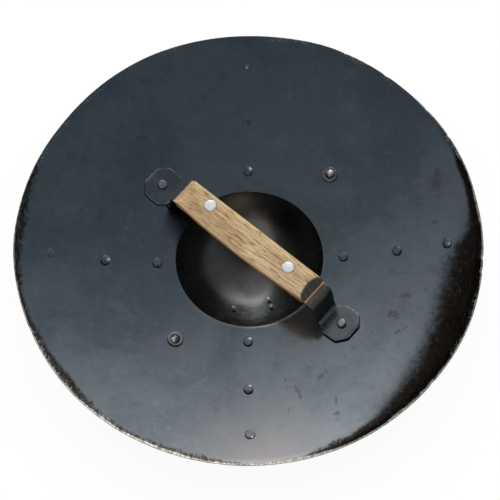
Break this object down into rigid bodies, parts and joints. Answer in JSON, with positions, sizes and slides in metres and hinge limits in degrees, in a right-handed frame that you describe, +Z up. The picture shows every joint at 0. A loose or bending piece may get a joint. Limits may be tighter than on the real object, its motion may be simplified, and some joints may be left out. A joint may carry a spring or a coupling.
{
  "type": "buckler shield",
  "caption": "Round dished steel buckler with a riveted hollow boss, lying boss-down so its riveted strap handle with wooden grip scales faces up.",
  "frame": {"origin": "middle of the small flat spot at the apex of the boss, where the shield rests", "axes": "+Z up through the middle of the boss, into the hollow side that holds the grip; +X and +Y along two arms of the rivet cross, with the grip on the diagonal from -X +Y to +X -Y"},
  "size_m": [0.38, 0.38, 0.0901],
  "materials": {
    "plate_steel": "glossy blackened steel sheet, slate blue-black, bare and chipped along the rim",
    "boss_steel": "glossy blackened steel, smooth dome with a few small pits",
    "strap_steel": "semi-matt blackened steel bar with worn edges",
    "grip_wood": "plain sanded hardwood with open grain, one end blackened",
    "grip_rivet_aluminium": "bare, hammered flat",
    "rivet_steel": "blackened steel rivet with bright worn spots",
    "washer_steel": "blackened steel washer with a worn edge"
  },
  "bodies": {
    "root": {"plate": "plate_steel", "boss": "boss_steel", "handle_strap": "strap_steel", "grip_scale_upper": "grip_wood", "grip_scale_lower": "grip_wood", "grip_rivet_far": "grip_rivet_aluminium", "grip_rivet_near": "grip_rivet_aluminium", "foot_rivet_far": "rivet_steel", "foot_rivet_near": "rivet_steel", "boss_rivet_far_right": "rivet_steel", "boss_rivet_near_left": "rivet_steel", "washer_far_right": "washer_steel", "washer_near_left": "washer_steel", "rivet_right_inner": "rivet_steel", "rivet_right_middle": "rivet_steel", "rivet_right_outer": "rivet_steel", "rivet_far_inner": "rivet_steel", "rivet_far_middle": "rivet_steel", "rivet_far_outer": "rivet_steel", "rivet_left_inner": "rivet_steel", "rivet_left_middle": "rivet_steel", "rivet_left_outer": "rivet_steel", "rivet_near_inner": "rivet_steel", "rivet_near_middle": "rivet_steel", "rivet_near_outer": "rivet_steel"}
  },
  "joints": []
}
